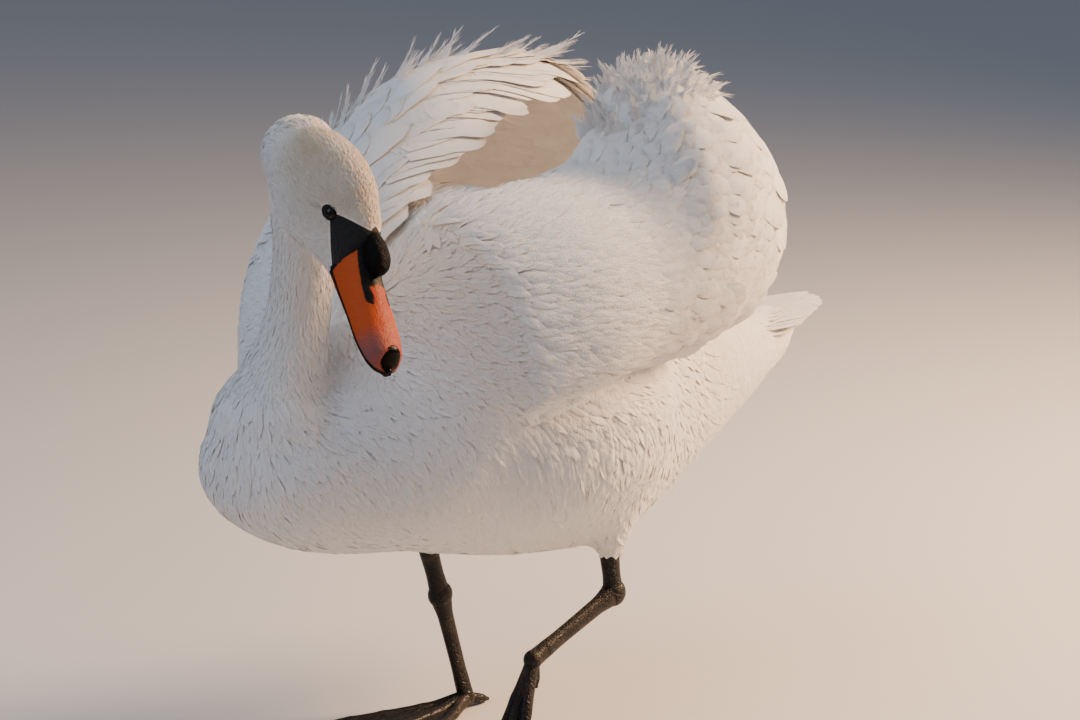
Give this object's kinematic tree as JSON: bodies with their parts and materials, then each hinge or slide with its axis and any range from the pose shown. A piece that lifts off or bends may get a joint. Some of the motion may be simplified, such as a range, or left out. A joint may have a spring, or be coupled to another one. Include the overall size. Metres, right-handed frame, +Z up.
{
  "type": "mute swan model",
  "caption": "Life-size still model of a walking mute swan with its wings arched over its back and its head turned to its left.",
  "frame": {"origin": "middle of the bounding box's bottom face, on the floor that the feet stand on", "axes": "+Z up, -Y the way the swan walks, +X its left side"},
  "size_m": [0.3764, 0.74, 0.5632],
  "materials": {
    "plumage": "white feathers, matt, with a buff tint on the crown",
    "bill_orange": "orange horn with a soft sheen, greyer and pinker towards the tip",
    "bill_black": "black horn and skin, finely grained",
    "eye": "wet, dark brown",
    "leg_skin": "black scaly skin"
  },
  "bodies": {
    "root": {"trunk": "plumage", "neck_lower": "plumage", "neck_middle": "plumage", "neck_upper": "plumage", "head": "plumage", "tail": "plumage", "bill_upper": "bill_orange", "bill_lower": "bill_orange", "bill_nail": "bill_black", "bill_knob": "bill_black", "eye_left": "eye", "eye_right": "eye", "wing_left_arm": "plumage", "wing_left_coverts": "plumage", "wing_left_secondaries": "plumage", "wing_left_primaries": "plumage", "thigh_left": "plumage", "shank_left": "leg_skin", "foot_left": "leg_skin", "wing_right_arm": "plumage", "wing_right_coverts": "plumage", "wing_right_secondaries": "plumage", "wing_right_primaries": "plumage", "thigh_right": "plumage", "shank_right": "leg_skin", "foot_right": "leg_skin"}
  },
  "joints": []
}
